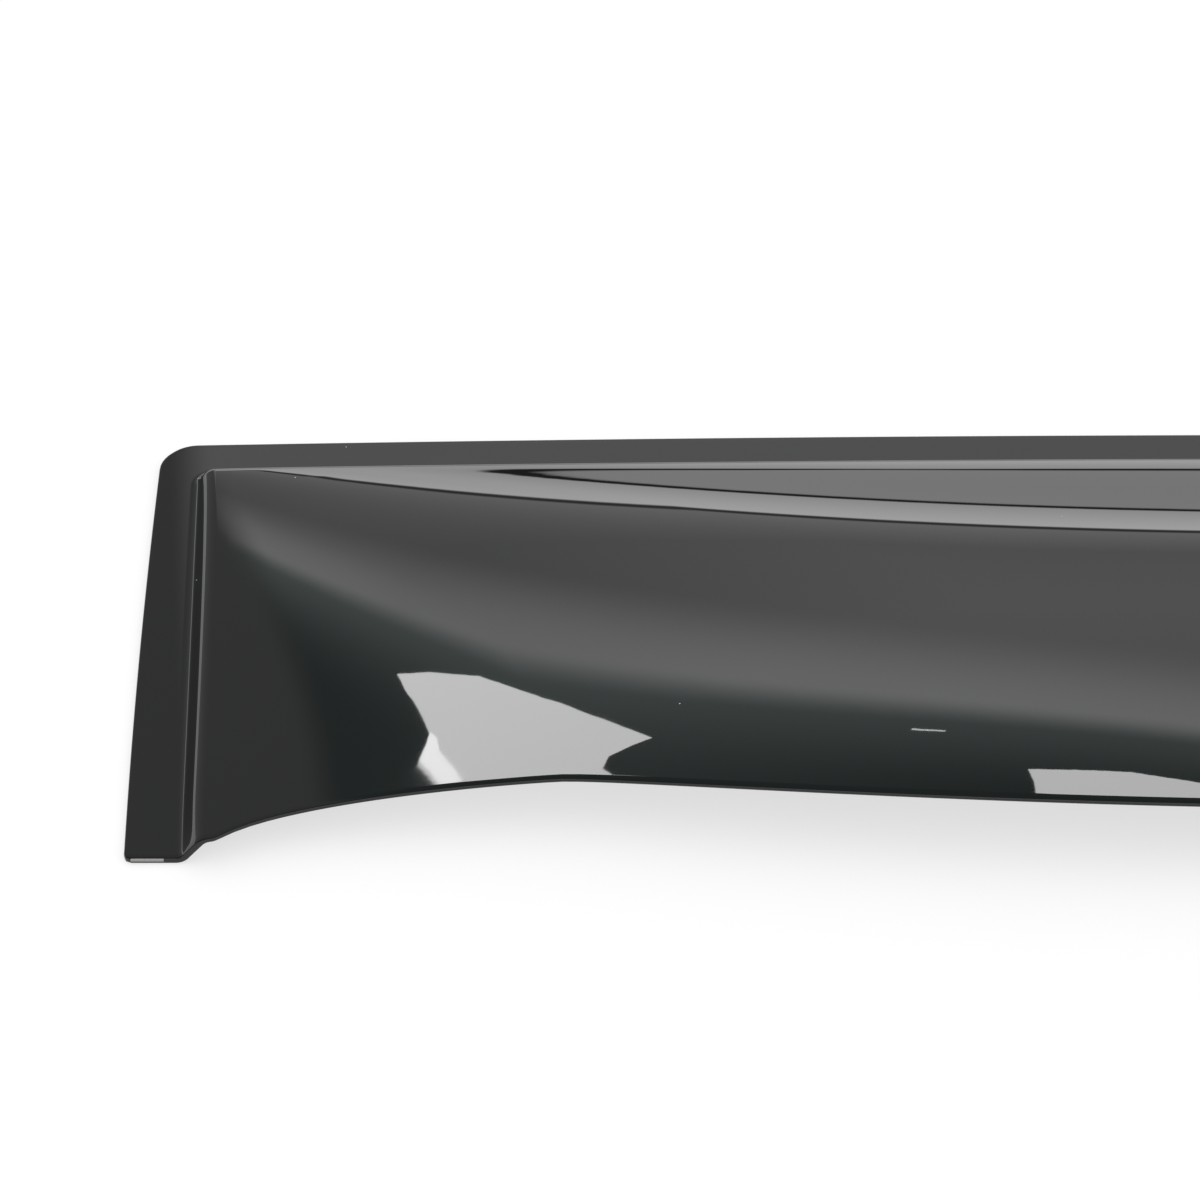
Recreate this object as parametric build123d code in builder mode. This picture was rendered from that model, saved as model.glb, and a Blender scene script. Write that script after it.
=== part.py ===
"""Rear window visor spoiler: one sheet formed over a plug and trimmed to its outline.

Millimetres. X runs across the car, +Y points to the roof edge at the back, +Z stands off the glass.
The origin is under the middle of the part, on the plane that its flange is bonded to.
"""

import math
import os

from build123d import *

# Overall size
WIDTH = 1146.0
DEPTH = 305.0
SHEET = 3.0
STRETCHED_SHEET = 2.2

# Trimmed outline, seen from above
BACK_BOW = 8.3
SIDE_FLARE = 8.4
SIDE_BOW = 1.6
CORNER_RADIUS = 17.0
TOE_RADIUS = 3.5
TOE_WIDTH = 39.0
TOE_BLEND = 10.0
NOSE_LEAD = 3.0
SHOULDER_INSET = 43.0
SHOULDER_SETBACK = 24.2
HOLLOW_INSET = 195.0
HOLLOW_SETBACK = 27.3
HOLLOW_REACH = 25.0
NOSE_REACH = 219.0

# Bonding flange and the step that lifts the canopy off it
BACK_FLANGE = 21.0
SIDE_FLANGE = 25.2
GROOVE_BOW = 8.0
GROOVE_RADIUS = 9.0
STEP = 6.5
WALL_SLOPE = 58.0
FOOT_RADIUS = 4.5
BROW_RADIUS = 8.5
TOE_SLOPE = 42.0
TOE_RUN = 45.0

# Canopy: control points of its middle section, measured forward from the groove and up from the step
LAND_RUN = 12.5
RAMP_RUN = 92.0
RAMP_RISE = 27.0
CREST_RUN = 104.0
CREST_RISE = 57.0
LIP_RISE = 25.0
LIP_OVERRUN = 15.0

# How the section fades out towards the sides
RAMP_MARGIN = 12.0
RAMP_REST = 0.05
LIP_MARGIN = 32.0
LIP_POWER = 2.7

# Forming plug: it runs past the trimmed edges on every side
OVERRUN = 20.0
FRONT_OVERRUN = 10.0
SIDE_OVERRUN = 10.0
CAP_RADIUS = 4.5
STATIONS = 13

# Places worked out from the sizes
back = DEPTH / 2
nose = -DEPTH / 2
toe = nose + NOSE_LEAD
side = WIDTH / 2
groove_side = side - SIDE_FLANGE
groove_back = back - BACK_FLANGE
groove_corner = groove_back - GROOVE_BOW
canopy_run = groove_back - nose + LIP_OVERRUN


def groove_line(x):
    """Y of the groove at the back, which bows out in the middle."""
    return groove_back - GROOVE_BOW * (x / groove_side) ** 2


def ramp_scale(x):
    """Share of the middle ramp left at this place across the width."""
    return RAMP_REST + (1 - RAMP_REST) * (1 - (x / (groove_side + RAMP_MARGIN)) ** 2)


def lip_scale(x):
    """Share of the middle lip height left at this place across the width."""
    return 1 - (abs(x) / (groove_side + LIP_MARGIN)) ** LIP_POWER


def behind_nose(edge):
    """True for an edge that lies behind the front face of the plug."""
    return edge.center().Y > nose


def within_outline(edge):
    """True for an edge that lies inside the outline of the flange."""
    return abs(edge.center().X) < side and nose < edge.center().Y < back


# Two forms, one for each face of the sheet: the upper face and, one thickness inside it, the lower face.
# The canopy is thinner than the flange because it was stretched over the plug.
forms = []
for drop, canopy_drop in ((0, 0), (SHEET, STRETCHED_SHEET)):
    flange_z = SHEET - drop
    land_z = SHEET - canopy_drop + STEP
    plug_top = land_z + CREST_RISE
    plug_front = nose - FRONT_OVERRUN - drop
    tuck = drop * math.tan(math.radians(WALL_SLOPE / 2))

    # Crown: lengthwise sections lofted across the width
    with BuildPart() as crown:
        for station in range(STATIONS):
            x = (groove_side + SIDE_OVERRUN) * (2 * station / (STATIONS - 1) - 1)
            ramp = ramp_scale(x)
            start = groove_line(x)
            rear = (start, land_z)
            front = (start - canopy_run, land_z + LIP_RISE * lip_scale(x))
            with BuildSketch(Plane.YZ.offset(x)):
                with BuildLine():
                    Bezier(
                        rear,
                        (start - LAND_RUN * ramp, land_z),
                        (start - RAMP_RUN * ramp, land_z + RAMP_RISE * ramp),
                        (start - CREST_RUN * ramp, land_z + CREST_RISE * ramp),
                        front,
                    )
                    Polyline(
                        front,
                        (front[0], -OVERRUN),
                        (start + OVERRUN, -OVERRUN),
                        (start + OVERRUN, land_z),
                        rear,
                    )
                make_face()
        loft()

    # Plug: sloping walls that rise from the groove and lean back further at the toes, capped by the crown
    with BuildPart() as plug:
        wall_inset = (plug_top - flange_z) / math.tan(math.radians(WALL_SLOPE))
        toe_inset = (plug_top - flange_z) / math.tan(math.radians(TOE_SLOPE))
        levels = (
            (flange_z, tuck, 0, GROOVE_RADIUS),
            (plug_top, tuck + wall_inset, toe_inset - wall_inset, CAP_RADIUS),
        )
        for level, inset, toe_lean, radius in levels:
            wall_x = groove_side - inset
            wall_y = groove_corner - inset
            front_x = wall_x - toe_lean
            with BuildSketch(Plane.XY.offset(level)) as walls:
                with BuildLine():
                    ThreePointArc((-wall_x, wall_y), (0, wall_y + GROOVE_BOW), (wall_x, wall_y))
                    Line((wall_x, wall_y), (wall_x, toe + TOE_RUN))
                    Bezier((wall_x, toe + TOE_RUN), (wall_x, toe), (front_x, plug_front))
                    Line((front_x, plug_front), (-front_x, plug_front))
                    Bezier((-front_x, plug_front), (-wall_x, toe), (-wall_x, toe + TOE_RUN))
                    Line((-wall_x, toe + TOE_RUN), (-wall_x, wall_y))
                make_face()
                fillet(walls.vertices().group_by(Axis.Y)[-1], radius)
        loft(ruled=True)
        add(crown.part, mode=Mode.INTERSECT)

    # Form: the plug on its base plate, with the bends of the sheet rounded
    with BuildPart() as form:
        base_x = side + OVERRUN + drop
        base_back = back + OVERRUN + drop
        with BuildSketch(Plane.XY.offset(flange_z)):
            with Locations((0, plug_front)):
                Rectangle(2 * base_x, base_back - plug_front, align=(Align.CENTER, Align.MIN))
        extrude(amount=-OVERRUN)
        add(plug.part)
        canopy = form.faces().sort_by(Axis.Z)[-1]
        fillet(canopy.edges().filter_by(behind_nose), BROW_RADIUS - drop)
        flange_face = form.faces().filter_by(Axis.Z).sort_by(Axis.Z)[-1]
        fillet(flange_face.edges().filter_by(within_outline), FOOT_RADIUS + drop)
    forms.append(form.part)

# Visor: the sheet between the two forms, cut to its outline
with BuildPart() as visor:
    add(forms[0])
    add(forms[1], mode=Mode.SUBTRACT)

    # Trim line: flared legs, bowed back edge and the free edge that dips behind the nose
    with BuildSketch(Plane.XY.offset(-SHEET)) as trim:
        with BuildLine():
            corner = (side - SIDE_FLARE, back - BACK_BOW)
            side_middle = (side - SIDE_FLARE / 2 + SIDE_BOW, (corner[1] + toe) / 2)
            toe_inner = side - TOE_WIDTH
            hollow = (side - HOLLOW_INSET, nose + HOLLOW_SETBACK)
            ThreePointArc((-corner[0], corner[1]), (0, back), corner)
            ThreePointArc(corner, side_middle, (side, toe))
            Line((side, toe), (toe_inner, toe))
            Bezier(
                (toe_inner, toe),
                (toe_inner - TOE_BLEND, toe),
                (side - SHOULDER_INSET, nose + SHOULDER_SETBACK),
                (hollow[0] + HOLLOW_REACH, hollow[1]),
                hollow,
            )
            Bezier(hollow, (hollow[0] - HOLLOW_REACH, hollow[1]), (NOSE_REACH, nose), (0, nose))
            Bezier(
                (0, nose),
                (-NOSE_REACH, nose),
                (HOLLOW_REACH - hollow[0], hollow[1]),
                (-hollow[0], hollow[1]),
            )
            Bezier(
                (-hollow[0], hollow[1]),
                (-hollow[0] - HOLLOW_REACH, hollow[1]),
                (SHOULDER_INSET - side, nose + SHOULDER_SETBACK),
                (TOE_BLEND - toe_inner, toe),
                (-toe_inner, toe),
            )
            Line((-toe_inner, toe), (-side, toe))
            ThreePointArc((-side, toe), (-side_middle[0], side_middle[1]), (-corner[0], corner[1]))
        make_face()
        fillet(trim.vertices().group_by(Axis.Y)[-1], CORNER_RADIUS)
        fillet(trim.vertices().group_by(Axis.X)[0] + trim.vertices().group_by(Axis.X)[-1], TOE_RADIUS)
    extrude(amount=2 * SHEET + STEP + CREST_RISE, mode=Mode.INTERSECT)

visor.part.label = "visor_shell"
os.makedirs("parts", exist_ok=True)
export_step(visor.part, "parts/visor_shell.step")
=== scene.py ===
"""Tailgate window spoiler: one formed gloss black sheet on a pale studio floor."""

import math

import bpy
import numpy as np
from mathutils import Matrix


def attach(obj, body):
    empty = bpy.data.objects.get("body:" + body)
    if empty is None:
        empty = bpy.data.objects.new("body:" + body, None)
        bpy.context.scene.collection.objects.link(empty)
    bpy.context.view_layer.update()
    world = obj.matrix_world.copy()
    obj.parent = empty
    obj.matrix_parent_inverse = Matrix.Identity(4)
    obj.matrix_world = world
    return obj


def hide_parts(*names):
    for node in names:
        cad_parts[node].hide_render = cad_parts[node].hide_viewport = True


bl_info = {
    "name": "Tailgate spoiler",
    "version": (1, 0, 0),
    "blender": (4, 5, 0),
    "location": "View3D > Sidebar > Spoiler",
    "description": "Builds a formed tailgate window spoiler and the studio it is shown in",
    "category": "Add Mesh",
}

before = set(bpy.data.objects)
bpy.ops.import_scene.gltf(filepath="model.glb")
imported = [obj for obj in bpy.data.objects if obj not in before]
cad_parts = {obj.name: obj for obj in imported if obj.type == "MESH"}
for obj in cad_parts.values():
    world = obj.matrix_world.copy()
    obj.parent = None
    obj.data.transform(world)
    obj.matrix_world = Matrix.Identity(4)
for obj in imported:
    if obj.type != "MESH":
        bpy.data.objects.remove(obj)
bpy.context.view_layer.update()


def length(name, description, millimetres):
    """A length property with its default given in millimetres."""
    return bpy.props.FloatProperty(
        name=name, description=description, default=millimetres / 1000, unit="LENGTH", precision=4
    )


def angle(name, description, degrees):
    """An angle property with its default given in degrees."""
    return bpy.props.FloatProperty(
        name=name, description=description, default=math.radians(degrees), subtype="ANGLE"
    )


def number(name, description, value, low=0.0):
    """A plain number property."""
    return bpy.props.FloatProperty(name=name, description=description, default=value, min=low, precision=3)


def colour(name, description, value):
    """A linear colour property."""
    return bpy.props.FloatVectorProperty(
        name=name, description=description, default=value, size=3, min=0.0, max=1.0, subtype="COLOR"
    )


class ShellSizes(bpy.types.PropertyGroup):
    """Sizes of the formed sheet."""

    width: length("Width", "Across the toes", 1146)
    depth: length("Depth", "From the back edge to the nose", 305)
    sheet: length("Sheet", "Thickness of the flange", 3)
    stretched_sheet: length("Stretched sheet", "Thickness of the canopy after forming", 2.2)
    back_bow: length("Back bow", "How far the back edge bows out in the middle", 8.3)
    side_flare: length("Side flare", "How far the toes stand outside the back corners", 8.4)
    side_bow: length("Side bow", "How far the side edges bow out", 1.6)
    corner_radius: length("Corner radius", "Back corners of the outline", 17)
    toe_radius: length("Toe radius", "Outer corners of the toes", 3.5)
    toe_width: length("Toe width", "Straight front of a toe", 39)
    toe_blend: length("Toe blend", "Run over which the free edge leaves the toe", 10)
    nose_lead: length("Nose lead", "How far the nose stands in front of the toes", 3)
    shoulder_inset: length("Shoulder inset", "Control point of the free edge, in from the side", 43)
    shoulder_setback: length("Shoulder setback", "Control point of the free edge, behind the nose", 24.2)
    hollow_inset: length("Hollow inset", "Deepest place of the free edge, in from the side", 195)
    hollow_setback: length("Hollow setback", "Deepest place of the free edge, behind the nose", 27.3)
    hollow_reach: length("Hollow reach", "Roundness of the free edge at its deepest place", 25)
    nose_reach: length("Nose reach", "Roundness of the free edge at the nose", 219)
    back_flange: length("Back flange", "Bonding flange at the back", 21)
    side_flange: length("Side flange", "Bonding flange at the sides", 25.2)
    groove_bow: length("Groove bow", "How far the groove bows out in the middle", 8)
    groove_radius: length("Groove radius", "Corners of the groove", 9)
    step: length("Step", "Rise from the flange to the canopy", 6.5)
    wall_slope: angle("Wall slope", "Slope of the step", 58)
    foot_radius: length("Foot radius", "Bend at the foot of the step", 4.5)
    brow_radius: length("Brow radius", "Bend at the top of the step", 8.5)
    toe_slope: angle("Toe slope", "Slope of the step at the toes", 42)
    toe_run: length("Toe run", "Length over which the step leans at the toes", 45)
    front_overrun: length("Front overrun", "How far the forming plug runs past the nose", 10)
    land_run: length("Land run", "Level start of the canopy", 12.5)
    ramp_run: length("Ramp run", "Run of the ramp's control point", 92)
    ramp_rise: length("Ramp rise", "Rise of the ramp's control point", 27)
    crest_run: length("Crest run", "Run of the crest's control point", 104)
    crest_rise: length("Crest rise", "Rise of the crest's control point", 57)
    lip_rise: length("Lip rise", "Height of the free edge in the middle", 25)
    lip_overrun: length("Lip overrun", "How far the section runs past the nose", 15)
    ramp_margin: length("Ramp margin", "Where the ramp dies out, past the groove", 12)
    ramp_rest: number("Ramp rest", "Share of the ramp left at the sides", 0.05)
    lip_margin: length("Lip margin", "Where the lip dies out, past the groove", 32)
    lip_power: number("Lip power", "How late the lip dies out", 2.7)
    edge_round: length("Edge round", "Rounding of the cut edge", 0.7)


class FinishSettings(bpy.types.PropertyGroup):
    """Colours and polish of the sheet."""

    acrylic: colour("Acrylic", "Body colour of the sheet", (0.002, 0.0026, 0.0026))
    # Pale colour painted on the front of the toes as the highlight of the cut edge
    painted_toe_highlight: colour("Sawn edge", "Frosted saw cut at the toes", (0.42, 0.42, 0.41))
    dust: colour("Dust", "Colour of the dust specks", (0.62, 0.62, 0.58))
    polish: number("Polish", "Roughness of the clean gloss", 0.01)
    smudge: number("Smudge", "Roughness of the dullest smudges", 0.03)
    refraction: number("Refraction", "Index of refraction of acrylic", 1.49)


class StudioSettings(bpy.types.PropertyGroup):
    """Camera and light of the studio."""

    camera_rise: angle("Camera rise", "Height of the camera over the horizon", 40)
    camera_distance: length("Camera distance", "From the camera to the place it looks at", 5000)
    aim_x: length("Aim across", "Place the camera looks at, across the width", -359)
    aim_y: length("Aim along", "Place the camera looks at, along the depth", 31.2)
    lens: bpy.props.FloatProperty(
        name="Lens", description="Focal length", default=324.75, unit="CAMERA"
    )
    floor_span: length("Floor span", "Width of the floor", 14000)
    floor: colour("Floor", "Colour of the floor", (0.36, 0.36, 0.36))
    floor_lift: number("Floor lift", "Paper white added where the floor is seen", 0.66)
    light: number("Light", "Strength of the soft light all round", 1.0)
    room: colour("Room", "Dim room over the backdrop, as the gloss shows it", (0.86, 1.0, 0.98))
    ceiling: length("Ceiling", "Height of the soft boxes", 2500)
    soft_box: number("Soft box", "Strength of the soft boxes", 9.5)
    rim: number("Bright rim", "Strength of the rim of the side box", 15.0)
    flag: number("Flag", "Strength of the grey card at the left", 0.5)


# How many mesh cells lie across the flange, the bends and the canopy
FLANGE_CELLS = 6
BEND_CELLS = 30
CANOPY_CELLS = 72
BEND_BEFORE = 0.004
BEND_AFTER = 0.017
PLAN_ROUNDS = 6
HALVINGS = 36
SLOPE_STRIDE = 0.001
SHARP_EDGE = math.radians(60)
SMOOTH_EDGE = math.radians(50)
BEVEL_SEGMENTS = 3

# Painted highlight, a pale strip on the front of the toes' cut edge: how deep, how long and how far above
# the flange underside
TOE_HIGHLIGHT_DEPTH = 0.0002
TOE_HIGHLIGHT_LENGTH = 0.018
TOE_HIGHLIGHT_LOW = 0.0012

# Dust specks, smudges and ripple of the sheet
SPECK_SCALE = 90
SPECK_RARITY = 0.86
SPECK_SIZE = 0.032
DUST_AND_TOE_HIGHLIGHT_ROUGHNESS = 0.8
SMEAR_SCALE = 9
SMEAR_DETAIL = 4
SMEAR_RANGE = (0.5, 0.8)
RIPPLE_SCALE = 60
PEEL_STRENGTH = 0.006
PEEL_HEIGHT = 0.0004

# Corners of the soft boxes over the sheet and of the grey card beside it, in millimetres
SIDE_BOX = (
    (-1047, 2838),
    (-998, 2813),
    (-921, 2741),
    (-853, 2626),
    (-787, 2514),
    (-719, 2392),
    (-631, 2235),
    (-655, 2232),
    (-675, 2222),
    (-672, 2190),
    (-652, 2150),
    (-600, 2070),
    (-800, 2150),
    (-883, 2370),
    (-917, 2435),
    (-946, 2489),
    (-950, 2524),
    (-954, 2564),
    (-976, 2624),
    (-998, 2686),
    (-1026, 2762),
)
BRIGHT_RIM = (
    (-954, 2564),
    (-950, 2524),
    (-946, 2489),
    (-917, 2435),
    (-883, 2370),
    (-860, 2360),
    (-895, 2430),
    (-925, 2490),
    (-938, 2530),
)
MIDDLE_BOX = ((-150, 1669), (-94, 1623), (-41, 1579), (60, 1462), (60, 1360), (-117, 1500), (-136, 1611))
SMALL_BOX = ((-306, 1972), (-265, 1929), (-264, 1922), (-305, 1964))
FLAG = ((-1200, 20), (-540, 20), (-540, 700), (-1200, 700))
FLAG_Y = 200
FLAG_FADE = (-566, -542)

# Strength of the backdrop at these degrees over the horizon
BACKDROP = (
    (0.0, 1.0),
    (3.7, 1.2),
    (3.95, 0.06),
    (4.45, 0.06),
    (4.7, 1.7),
    (11.6, 3.0),
    (12.0, 0.2),
    (12.7, 0.2),
    (13.1, 1.05),
    (21.0, 0.85),
    (36.0, 1.3),
    (60.0, 1.6),
)
BACKDROP_TOP = 60
BACKDROP_PEAK = 3

# Slanting edge of the backdrop, as slope and height of its two straight parts, and the light along it
LONG_EDGE = (2.05, 1.226)
SHORT_EDGE = (3.6, 1.489)
EDGE_FADE = (0.03, -0.05)
EDGE_LIMITS = (-0.4, 0.3)
EDGE_GLOW = (-0.35, -0.02, 0, 1.1)
ROOM_DIM = (-0.02, 0.2, 0.95, 0.3)
LEAST_LEVEL = 0.05

# The upper joint climbs towards the left: where it starts, and how much at these degrees over the horizon
CLIMB_START = 0.7
CLIMB = (6, 11, 0, 1.6)

FLOOR_DROP = 0.0003
RIM_DROP = 0.01
SENSOR_WIDTH = 36


def curve_points(points, count=400):
    """Points along a Bezier curve."""
    t = np.linspace(0, 1, count)[:, None]
    degree = len(points) - 1
    return sum(
        math.comb(degree, k) * t**k * (1 - t) ** (degree - k) * np.array(point)
        for k, point in enumerate(points)
    )


def bowed(share, bow):
    """Offset of a shallow arc with this bow at a share of -1 to 1 along its chord."""
    return bow * (1 - share**2)


class Shell:
    """Outline and height of the formed sheet, worked out from its sizes."""

    def __init__(self, s):
        self.s = s
        self.back = s.depth / 2
        self.nose = -s.depth / 2
        self.toe = self.nose + s.nose_lead
        self.side = s.width / 2
        self.groove_side = self.side - s.side_flange
        self.groove_back = self.back - s.back_flange
        self.canopy_run = self.groove_back - self.nose + s.lip_overrun
        toe_inner = self.side - s.toe_width
        hollow = (self.side - s.hollow_inset, self.nose + s.hollow_setback)
        outer = curve_points((
            (toe_inner, self.toe),
            (toe_inner - s.toe_blend, self.toe),
            (self.side - s.shoulder_inset, self.nose + s.shoulder_setback),
            (hollow[0] + s.hollow_reach, hollow[1]),
            hollow,
        ))
        inner = curve_points((
            hollow,
            (hollow[0] - s.hollow_reach, hollow[1]),
            (s.nose_reach, self.nose),
            (0, self.nose),
        ))
        self.edge = np.vstack([((self.side, self.toe),), outer, inner])[::-1]

    def back_edge(self, x):
        """Y of the back edge of the outline."""
        corner = self.side - self.s.side_flare
        return self.back - self.s.back_bow + bowed(x / corner, self.s.back_bow)

    def side_edge(self, y):
        """X of the side edge of the outline."""
        corner = self.back - self.s.back_bow
        share = 2 * (y - self.toe) / (corner - self.toe) - 1
        return self.side - self.s.side_flare * (share + 1) / 2 + bowed(share, self.s.side_bow)

    def free_edge(self, x):
        """Y of the free edge of the outline."""
        return np.interp(np.abs(x), self.edge[:, 0], self.edge[:, 1])

    def groove_line(self, x):
        """Y of the groove at the back."""
        return self.groove_back - self.s.groove_bow * (x / self.groove_side) ** 2

    def canopy(self, x, y, land):
        """Height of the canopy: lengthwise curves that fade out towards the sides."""
        s = self.s
        fade = (x / (self.groove_side + s.ramp_margin)) ** 2
        ramp = s.ramp_rest + (1 - s.ramp_rest) * (1 - fade)
        lip = 1 - (np.abs(x) / (self.groove_side + s.lip_margin)) ** s.lip_power
        run = np.clip(self.groove_line(x) - y, 0, self.canopy_run)
        low = np.zeros_like(x)
        high = np.ones_like(x)
        for _ in range(HALVINGS):
            t = (low + high) / 2
            u = 1 - t
            reach = 4 * u**3 * t * s.land_run + 6 * u**2 * t**2 * s.ramp_run + 4 * u * t**3 * s.crest_run
            short = reach * ramp + t**4 * self.canopy_run < run
            low = np.where(short, t, low)
            high = np.where(short, high, t)
        rise = 6 * u**2 * t**2 * s.ramp_rise + 4 * u * t**3 * s.crest_rise
        return land + rise * ramp + t**4 * s.lip_rise * lip

    def height(self, x, y, drop, canopy_drop):
        """Height of one face of the sheet: flange, foot bend, wall, brow bend and canopy."""
        s = self.s
        flange = s.sheet - drop
        land = s.sheet - canopy_drop + s.step
        foot_r = s.foot_radius + drop
        brow_r = s.brow_radius - drop
        tuck = drop * math.tan(s.wall_slope / 2)
        radius = s.groove_radius

        # Distance in from the groove and the direction that leads in
        past_back = radius - (self.groove_line(x) - tuck - y)
        past_side = radius - (self.groove_side - tuck - np.abs(x))
        out_x = np.maximum(past_side, 0)
        out_y = np.maximum(past_back, 0)
        out = np.hypot(out_x, out_y)
        inside = radius - out - np.minimum(np.maximum(past_back, past_side), 0)
        in_corner = (past_back > 0) & (past_side > 0)
        safe = np.maximum(out, 1e-9)
        in_x = np.where(in_corner, out_x / safe, past_side > past_back)
        in_y = np.where(in_corner, out_y / safe, past_side <= past_back)

        # The wall leans further in at the toes
        reach = 2 * s.toe_run
        bend = s.toe_run - s.front_overrun - s.nose_lead
        past_toe = np.clip(self.toe + s.toe_run - y, 0, s.toe_run + s.front_overrun + s.nose_lead)
        t = (reach - np.sqrt(np.maximum(reach**2 - 4 * bend * past_toe, 0))) / (2 * bend)
        wall_run = 1 / math.tan(s.wall_slope)
        toe_run = 1 / math.tan(s.toe_slope)
        run = wall_run + (toe_run - wall_run) * t**2 * in_x
        wall_angle = np.arctan(1 / run)
        wall = flange + inside / run

        # Foot bend
        foot_tangent = foot_r * np.tan(wall_angle / 2)
        dip = np.clip(inside + foot_tangent, 0, foot_r)
        foot = flange + foot_r - np.sqrt(foot_r**2 - dip**2)
        lower = np.where(inside < foot_tangent * np.cos(wall_angle), foot, wall)

        # Brow bend between the wall and the canopy
        top = self.canopy(x, y, land)
        ahead = self.canopy(x - np.sign(x) * in_x * SLOPE_STRIDE, y - in_y * SLOPE_STRIDE, land)
        top_slope = (ahead - top) / SLOPE_STRIDE
        top_angle = np.arctan(top_slope)
        over = (wall - top) / (1 / run - top_slope)
        brow_tangent = brow_r * np.tan((wall_angle - top_angle) / 2)
        centre = brow_tangent * np.cos(top_angle) + brow_r * np.sin(top_angle)
        sink = brow_tangent * np.sin(top_angle) - brow_r * np.cos(top_angle)
        round_top = np.sqrt(np.maximum(brow_r**2 - (over - centre) ** 2, 0))
        brow = top - over * top_slope + sink + round_top
        upper = np.where(over > brow_tangent * np.cos(top_angle), top, brow)
        return np.where(over > -brow_tangent * np.cos(wall_angle), upper, lower)

    def plan(self, u, v):
        """Place in the outline of a grid point, with u across and v from the free edge to the back."""
        x = u * self.side
        y = self.nose + v * self.s.depth
        band = (FLANGE_CELLS, FLANGE_CELLS + BEND_CELLS, FLANGE_CELLS + BEND_CELLS + CANOPY_CELLS)
        across = (1 - np.abs(u)) * band[2]
        along = (1 - v) * band[2]
        for _ in range(PLAN_ROUNDS):
            side = self.side_edge(y)
            stops_x = (side, self.groove_side + BEND_BEFORE, self.groove_side - BEND_AFTER, 0)
            x = np.sign(u) * self.between(across, band, stops_x)
            groove = self.groove_line(x)
            stops_y = (self.back_edge(x), groove + BEND_BEFORE, groove - BEND_AFTER, self.free_edge(x))
            y = self.between(along, band, stops_y)
        return x, y

    @staticmethod
    def between(cell, band, stops):
        """Place of a cell number between the stops of its band."""
        first = stops[0] + (stops[1] - stops[0]) * cell / band[0]
        second = stops[1] + (stops[2] - stops[1]) * (cell - band[0]) / (band[1] - band[0])
        third = stops[2] + (stops[3] - stops[2]) * (cell - band[1]) / (band[2] - band[1])
        return np.where(cell <= band[0], first, np.where(cell <= band[1], second, third))

    def rounded(self, x, y):
        """The plan with the corners of its outline rounded."""
        sign = np.sign(x)
        x = np.abs(x)
        corners = (
            (self.s.corner_radius, 1, self.back_edge),
            (self.s.toe_radius, -1, lambda x: self.toe + 0 * x),
        )
        for radius, way, edge in corners:
            side = self.side_edge(y)
            end = edge(x)
            px = radius - (side - x)
            py = radius - way * (end - y)
            inside = (px > 0) & (py > 0)
            shrink = np.where(inside, np.maximum(px, py) / np.maximum(np.hypot(px, py), 1e-9), 1)
            x = side - radius + px * shrink
            y = end - way * (radius - py * shrink)
        return sign * x, y


def select_only(obj):
    """Selects one object and makes it active."""
    bpy.ops.object.select_all(action="DESELECT")
    obj.select_set(True)
    bpy.context.view_layer.objects.active = obj


def apply_modifier(obj, kind, **settings):
    """Adds a modifier with these settings and applies it."""
    modifier = obj.modifiers.new(kind.title(), kind)
    for key, value in settings.items():
        setattr(modifier, key, value)
    select_only(obj)
    bpy.ops.object.modifier_apply(modifier=modifier.name)


def add_nodes(tree, **kinds):
    """Adds nodes to a tree and returns them by name."""
    return {name: tree.nodes.new(kind) for name, kind in kinds.items()}


def join(tree, socket, value):
    """Links a socket to another node, or sets it."""
    if isinstance(value, bpy.types.NodeSocket):
        tree.links.new(value, socket)
    else:
        socket.default_value = value


def work_out(tree, operation, *values):
    """A maths node on these values."""
    node = tree.nodes.new("ShaderNodeMath")
    node.operation = operation
    for socket, value in zip(node.inputs, values):
        join(tree, socket, value)
    return node.outputs[0]


def fade(tree, value, start, end, low=0.0, high=1.0):
    """A smooth step from low to high as a value runs from start to end."""
    node = tree.nodes.new("ShaderNodeMapRange")
    node.interpolation_type = "SMOOTHSTEP"
    names = ("Value", "From Min", "From Max", "To Min", "To Max")
    for name, setting in zip(names, (value, start, end, low, high)):
        join(tree, node.inputs[name], setting)
    return node.outputs["Result"]


def blend(tree, share, first, second):
    """A mix of two colours."""
    node = tree.nodes.new("ShaderNodeMix")
    node.data_type = "RGBA"
    join(tree, node.inputs["Factor"], share)
    join(tree, node.inputs["A"], first)
    join(tree, node.inputs["B"], second)
    return node.outputs["Result"]


def painted_toe_highlight_mask(tree, place, sizes):
    """One on the front of the toes, where a pale strip is painted as the highlight of the cut edge."""
    split = tree.nodes.new("ShaderNodeSeparateXYZ")
    tree.links.new(place, split.inputs[0])
    x, y, z = split.outputs
    front = work_out(tree, "LESS_THAN", y, sizes.nose_lead - sizes.depth / 2 + TOE_HIGHLIGHT_DEPTH)
    outer = work_out(tree, "GREATER_THAN", work_out(tree, "ABSOLUTE", x), sizes.width / 2 - TOE_HIGHLIGHT_LENGTH)
    above = work_out(tree, "GREATER_THAN", z, TOE_HIGHLIGHT_LOW)
    return work_out(tree, "MULTIPLY", work_out(tree, "MULTIPLY", front, outer), above)


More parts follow.
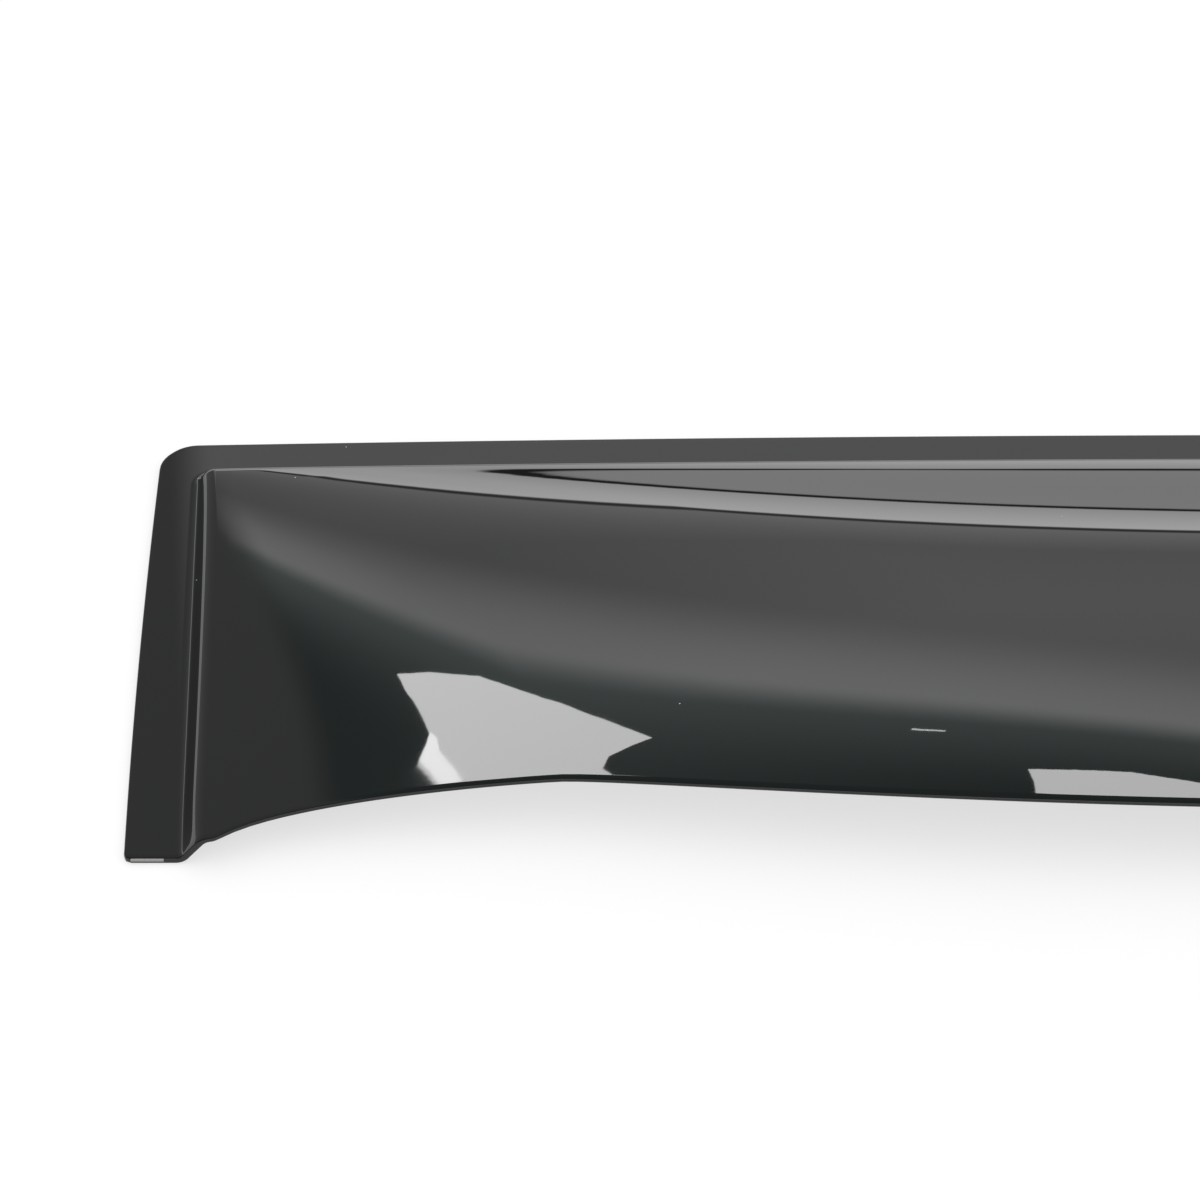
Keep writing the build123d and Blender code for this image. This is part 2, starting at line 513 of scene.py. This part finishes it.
def acrylic_material(finish, sizes):
    """Gloss black acrylic with a little dust, faint smudges and a painted highlight on the cut edge at the
    toes.
    """
    material = bpy.data.materials.new("gloss_acrylic")
    material.use_nodes = True
    tree = material.node_tree
    link = tree.links.new
    shader = tree.nodes["Principled BSDF"]
    shader.inputs["IOR"].default_value = finish.refraction
    n = add_nodes(
        tree,
        place="ShaderNodeTexCoord",
        speck="ShaderNodeTexVoronoi",
        pick="ShaderNodeSeparateColor",
        rare="ShaderNodeMath",
        small="ShaderNodeMath",
        dusty="ShaderNodeMath",
        tint="ShaderNodeMix",
        smear="ShaderNodeTexNoise",
        dull="ShaderNodeMapRange",
        coarse="ShaderNodeMix",
        ripple="ShaderNodeTexNoise",
        peel="ShaderNodeBump",
    )
    n["speck"].inputs["Scale"].default_value = SPECK_SCALE
    link(n["place"].outputs["Object"], n["speck"].inputs["Vector"])
    link(n["speck"].outputs["Color"], n["pick"].inputs["Color"])
    n["rare"].operation = "GREATER_THAN"
    n["rare"].inputs[1].default_value = SPECK_RARITY
    link(n["pick"].outputs["Red"], n["rare"].inputs[0])
    n["small"].operation = "LESS_THAN"
    n["small"].inputs[1].default_value = SPECK_SIZE
    link(n["speck"].outputs["Distance"], n["small"].inputs[0])
    n["dusty"].operation = "MULTIPLY"
    link(n["rare"].outputs[0], n["dusty"].inputs[0])
    link(n["small"].outputs[0], n["dusty"].inputs[1])
    n["tint"].data_type = "RGBA"
    n["tint"].inputs["A"].default_value = (*finish.acrylic, 1)
    n["tint"].inputs["B"].default_value = (*finish.dust, 1)
    link(n["dusty"].outputs[0], n["tint"].inputs["Factor"])
    # Pale strip painted on the front of the toes as the highlight of the cut edge
    painted_toe_highlight = painted_toe_highlight_mask(tree, n["place"].outputs["Object"], sizes)
    link(blend(tree, painted_toe_highlight, n["tint"].outputs["Result"], (*finish.painted_toe_highlight, 1)), shader.inputs["Base Color"])
    n["smear"].inputs["Scale"].default_value = SMEAR_SCALE
    n["smear"].inputs["Detail"].default_value = SMEAR_DETAIL
    link(n["place"].outputs["Object"], n["smear"].inputs["Vector"])
    n["dull"].inputs["From Min"].default_value = SMEAR_RANGE[0]
    n["dull"].inputs["From Max"].default_value = SMEAR_RANGE[1]
    n["dull"].inputs["To Min"].default_value = finish.polish
    n["dull"].inputs["To Max"].default_value = finish.smudge
    link(n["smear"].outputs["Fac"], n["dull"].inputs["Value"])
    n["coarse"].data_type = "FLOAT"
    n["coarse"].inputs["B"].default_value = DUST_AND_TOE_HIGHLIGHT_ROUGHNESS
    # The dust specks and the painted toe highlight are both made rough
    link(work_out(tree, "MAXIMUM", n["dusty"].outputs[0], painted_toe_highlight), n["coarse"].inputs["Factor"])
    link(n["dull"].outputs["Result"], n["coarse"].inputs["A"])
    link(n["coarse"].outputs["Result"], shader.inputs["Roughness"])
    n["ripple"].inputs["Scale"].default_value = RIPPLE_SCALE
    link(n["place"].outputs["Object"], n["ripple"].inputs["Vector"])
    n["peel"].inputs["Strength"].default_value = PEEL_STRENGTH
    n["peel"].inputs["Distance"].default_value = PEEL_HEIGHT
    link(n["ripple"].outputs["Fac"], n["peel"].inputs["Height"])
    link(n["peel"].outputs["Normal"], shader.inputs["Normal"])
    return material


class SPOILER_OT_shell(bpy.types.Operator):
    """Forms the sheet from a grid, gives it its thickness and rounds its cut edge"""

    bl_idname = "spoiler.shell"
    bl_label = "Formed sheet"

    def execute(self, context):
        sizes = context.scene.spoiler_shell
        shell = Shell(sizes)
        cells = FLANGE_CELLS + BEND_CELLS + CANOPY_CELLS
        bpy.ops.object.select_all(action="DESELECT")
        bpy.ops.mesh.primitive_grid_add(x_subdivisions=2 * cells, y_subdivisions=cells, size=2)
        sheet = context.active_object
        sheet.name = "formed_sheet"
        sheet.data.name = "formed_sheet"
        points = self.points(sheet)
        x, y = shell.plan(points[:, 0], (points[:, 1] + 1) / 2)
        x, y = shell.rounded(x, y)
        upper = np.stack([x, y, shell.height(x, y, 0, 0)], -1)
        self.place(sheet, upper)
        apply_modifier(sheet, "SOLIDIFY", thickness=sizes.stretched_sheet, offset=-1)
        lower = np.stack([x, y, shell.height(x, y, sizes.sheet, sizes.stretched_sheet)], -1)
        self.place(sheet, np.vstack([upper, lower]))
        select_only(sheet)
        bpy.ops.object.mode_set(mode="EDIT")
        bpy.ops.mesh.select_mode(type="EDGE")
        bpy.ops.mesh.select_all(action="DESELECT")
        bpy.ops.mesh.edges_select_sharp(sharpness=SHARP_EDGE)
        bpy.ops.mesh.bevel(
            offset=sizes.edge_round, segments=BEVEL_SEGMENTS, affect="EDGES", clamp_overlap=True
        )
        bpy.ops.object.mode_set(mode="OBJECT")
        bpy.ops.object.shade_smooth_by_angle(angle=SMOOTH_EDGE)
        sheet.data.materials.append(acrylic_material(context.scene.spoiler_finish, sizes))
        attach(sheet, "root")
        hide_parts("visor_shell")
        return {"FINISHED"}

    @staticmethod
    def points(obj):
        """Vertex places of an object as an array."""
        places = np.empty(3 * len(obj.data.vertices))
        obj.data.vertices.foreach_get("co", places)
        return places.reshape(-1, 3)

    @staticmethod
    def place(obj, places):
        """Moves the vertices of an object."""
        if len(places) != len(obj.data.vertices):
            raise RuntimeError("the grid and the places worked out for it don't match")
        obj.data.vertices.foreach_set("co", places.ravel())
        obj.data.update()


class SPOILER_OT_stage(bpy.types.Operator):
    """Lays the floor, sets the light and points the camera"""

    bl_idname = "spoiler.stage"
    bl_label = "Studio"

    def execute(self, context):
        studio = context.scene.spoiler_studio
        bpy.ops.object.select_all(action="DESELECT")
        bpy.ops.mesh.primitive_plane_add(size=studio.floor_span, location=(0, 0, -FLOOR_DROP))
        floor = context.active_object
        floor.name = "floor"
        bpy.ops.object.transform_apply(location=True, rotation=True, scale=True)
        floor.data.materials.append(self.floor_material(studio))
        boxes = (
            ("side_box", SIDE_BOX, 0, studio.soft_box),
            ("bright_rim", BRIGHT_RIM, RIM_DROP, studio.rim),
            ("middle_box", MIDDLE_BOX, 0, studio.soft_box),
            ("small_box", SMALL_BOX, 0, studio.soft_box),
        )
        for name, corners, below, strength in boxes:
            overhead = [(x / 1000, y / 1000, studio.ceiling - below) for x, y in corners]
            self.card(context, name, overhead, strength)
        upright = [(x / 1000, FLAG_Y / 1000, z / 1000) for x, z in FLAG]
        flag = self.card(context, "flag", upright, studio.flag)
        self.soften(flag.active_material)
        self.light(context.scene, studio)
        self.camera(context, studio)
        context.scene.view_settings.view_transform = "Standard"
        return {"FINISHED"}

    @staticmethod
    def card(context, name, corners, strength):
        """A bright or grey card that only the gloss of the sheet shows."""
        bpy.ops.object.select_all(action="DESELECT")
        bpy.ops.mesh.primitive_circle_add(vertices=len(corners), fill_type="NGON")
        card = context.active_object
        card.name = name
        card.data.vertices.foreach_set("co", np.ravel(corners))
        card.data.update()
        bpy.ops.object.mode_set(mode="EDIT")
        bpy.ops.mesh.quads_convert_to_tris(ngon_method="BEAUTY")
        bpy.ops.object.mode_set(mode="OBJECT")
        material = bpy.data.materials.new(name)
        material.use_nodes = True
        tree = material.node_tree
        tree.nodes.clear()
        glow = tree.nodes.new("ShaderNodeEmission")
        glow.inputs["Strength"].default_value = strength
        out = tree.nodes.new("ShaderNodeOutputMaterial")
        tree.links.new(glow.outputs[0], out.inputs["Surface"])
        card.data.materials.append(material)
        card.visible_camera = False
        card.visible_diffuse = False
        card.visible_shadow = False
        return card

    @staticmethod
    def soften(material):
        """Fades a card out along its right-hand edge."""
        tree = material.node_tree
        place = tree.nodes.new("ShaderNodeTexCoord")
        split = tree.nodes.new("ShaderNodeSeparateXYZ")
        tree.links.new(place.outputs["Object"], split.inputs[0])
        share = fade(tree, split.outputs["X"], FLAG_FADE[0] / 1000, FLAG_FADE[1] / 1000)
        clear = tree.nodes.new("ShaderNodeBsdfTransparent")
        mix = tree.nodes.new("ShaderNodeMixShader")
        tree.links.new(share, mix.inputs["Fac"])
        tree.links.new(tree.nodes["Emission"].outputs[0], mix.inputs[1])
        tree.links.new(clear.outputs[0], mix.inputs[2])
        tree.links.new(mix.outputs[0], tree.nodes["Material Output"].inputs["Surface"])

    @staticmethod
    def floor_material(studio):
        """Pale paper that reads as white where nothing shades it."""
        material = bpy.data.materials.new("studio_floor")
        material.use_nodes = True
        tree = material.node_tree
        tree.nodes.clear()
        n = add_nodes(
            tree,
            paper="ShaderNodeBsdfDiffuse",
            path="ShaderNodeLightPath",
            seen="ShaderNodeMath",
            lift="ShaderNodeEmission",
            strength="ShaderNodeMath",
            both="ShaderNodeAddShader",
            out="ShaderNodeOutputMaterial",
        )
        link = tree.links.new
        n["paper"].inputs["Color"].default_value = (*studio.floor, 1)
        n["seen"].operation = "MAXIMUM"
        link(n["path"].outputs["Is Camera Ray"], n["seen"].inputs[0])
        link(n["path"].outputs["Is Glossy Ray"], n["seen"].inputs[1])
        n["strength"].operation = "MULTIPLY"
        n["strength"].inputs[1].default_value = studio.floor_lift
        link(n["seen"].outputs[0], n["strength"].inputs[0])
        link(n["strength"].outputs[0], n["lift"].inputs["Strength"])
        link(n["paper"].outputs[0], n["both"].inputs[0])
        link(n["lift"].outputs[0], n["both"].inputs[1])
        link(n["both"].outputs[0], n["out"].inputs["Surface"])
        return material

    @staticmethod
    def light(scene, studio):
        """Even white light all round, and for the gloss a lit backdrop under a dim room."""
        world = bpy.data.worlds.new("studio")
        scene.world = world
        world.use_nodes = True
        tree = world.node_tree
        place = tree.nodes.new("ShaderNodeTexCoord")
        split = tree.nodes.new("ShaderNodeSeparateXYZ")
        tree.links.new(place.outputs["Generated"], split.inputs[0])
        x, y, z = split.outputs
        level = work_out(tree, "MAXIMUM", work_out(tree, "ABSOLUTE", y), LEAST_LEVEL)
        rise = work_out(tree, "DIVIDE", z, level)
        across = work_out(tree, "MINIMUM", work_out(tree, "DIVIDE", x, level), EDGE_LIMITS[1])
        across = work_out(tree, "MAXIMUM", across, EDGE_LIMITS[0])

        # The backdrop ends along a slanting edge
        long_edge = work_out(tree, "MULTIPLY_ADD", across, *LONG_EDGE)
        short_edge = work_out(tree, "MULTIPLY_ADD", across, *SHORT_EDGE)
        edge = work_out(tree, "MINIMUM", long_edge, short_edge)
        over = work_out(tree, "SUBTRACT", rise, edge)
        backdrop = fade(tree, over, *EDGE_FADE)

        # Its light grows upwards, with two dark joints low down
        height = work_out(tree, "DEGREES", work_out(tree, "ARCSINE", z))
        ramp = tree.nodes.new("ShaderNodeValToRGB")
        stops = ramp.color_ramp.elements
        while len(stops) < len(BACKDROP):
            stops.new(1.0)
        for stop, (degrees, strength) in zip(stops, BACKDROP):
            stop.position = degrees / BACKDROP_TOP
            grey = strength / BACKDROP_PEAK
            stop.color = (grey, grey, grey, 1)
        turn = work_out(tree, "DEGREES", work_out(tree, "ARCTANGENT", across))
        left = work_out(tree, "MAXIMUM", work_out(tree, "MULTIPLY_ADD", turn, -1, -CLIMB_START), 0)
        climb = work_out(tree, "MULTIPLY", left, fade(tree, height, *CLIMB))
        degrees_up = work_out(tree, "SUBTRACT", height, climb)
        tree.links.new(work_out(tree, "DIVIDE", degrees_up, BACKDROP_TOP), ramp.inputs["Fac"])
        wash = work_out(tree, "MULTIPLY", ramp.outputs["Color"], BACKDROP_PEAK)
        wash = work_out(tree, "ADD", wash, fade(tree, over, *EDGE_GLOW))

        # Over the edge the gloss shows a dim room, and other rays see plain white
        dim = fade(tree, over, *ROOM_DIM)
        room = blend(tree, dim, (0, 0, 0, 1), (*studio.room, 1))
        shown = blend(tree, backdrop, room, wash)
        path = tree.nodes.new("ShaderNodeLightPath")
        light = (studio.light, studio.light, studio.light, 1)
        final = blend(tree, path.outputs["Is Glossy Ray"], light, shown)
        tree.links.new(final, tree.nodes["Background"].inputs["Color"])

    @staticmethod
    def camera(context, studio):
        """Long lens at the height the photograph was taken from."""
        data = bpy.data.cameras.new("camera")
        camera = bpy.data.objects.new("camera", data)
        context.scene.collection.objects.link(camera)
        data.lens = studio.lens
        data.sensor_width = SENSOR_WIDTH
        camera.location = (
            studio.aim_x,
            studio.aim_y - studio.camera_distance * math.cos(studio.camera_rise),
            context.scene.spoiler_shell.sheet + studio.camera_distance * math.sin(studio.camera_rise),
        )
        camera.rotation_euler = (math.pi / 2 - studio.camera_rise, 0, 0)
        context.scene.camera = camera


class SPOILER_PT_panel(bpy.types.Panel):
    """Sizes, finish and studio of the spoiler"""

    bl_label = "Tailgate spoiler"
    bl_idname = "SPOILER_PT_panel"
    bl_space_type = "VIEW_3D"
    bl_region_type = "UI"
    bl_category = "Spoiler"

    def draw(self, context):
        layout = self.layout
        for operator in (SPOILER_OT_shell, SPOILER_OT_stage):
            layout.operator(operator.bl_idname)
        for group in ("spoiler_shell", "spoiler_finish", "spoiler_studio"):
            box = layout.box()
            settings = getattr(context.scene, group)
            for name in settings.__annotations__:
                box.prop(settings, name)


CLASSES = (ShellSizes, FinishSettings, StudioSettings, SPOILER_OT_shell, SPOILER_OT_stage, SPOILER_PT_panel)


def register():
    """Registers the classes and hangs their settings on the scene."""
    for cls in CLASSES:
        bpy.utils.register_class(cls)
    bpy.types.Scene.spoiler_shell = bpy.props.PointerProperty(type=ShellSizes)
    bpy.types.Scene.spoiler_finish = bpy.props.PointerProperty(type=FinishSettings)
    bpy.types.Scene.spoiler_studio = bpy.props.PointerProperty(type=StudioSettings)


def unregister():
    """Takes the settings and classes away again."""
    del bpy.types.Scene.spoiler_studio
    del bpy.types.Scene.spoiler_finish
    del bpy.types.Scene.spoiler_shell
    for cls in reversed(CLASSES):
        bpy.utils.unregister_class(cls)


def main():
    """Builds the spoiler and its studio."""
    register()
    bpy.ops.spoiler.shell()
    bpy.ops.spoiler.stage()


if __name__ == "__main__":
    main()
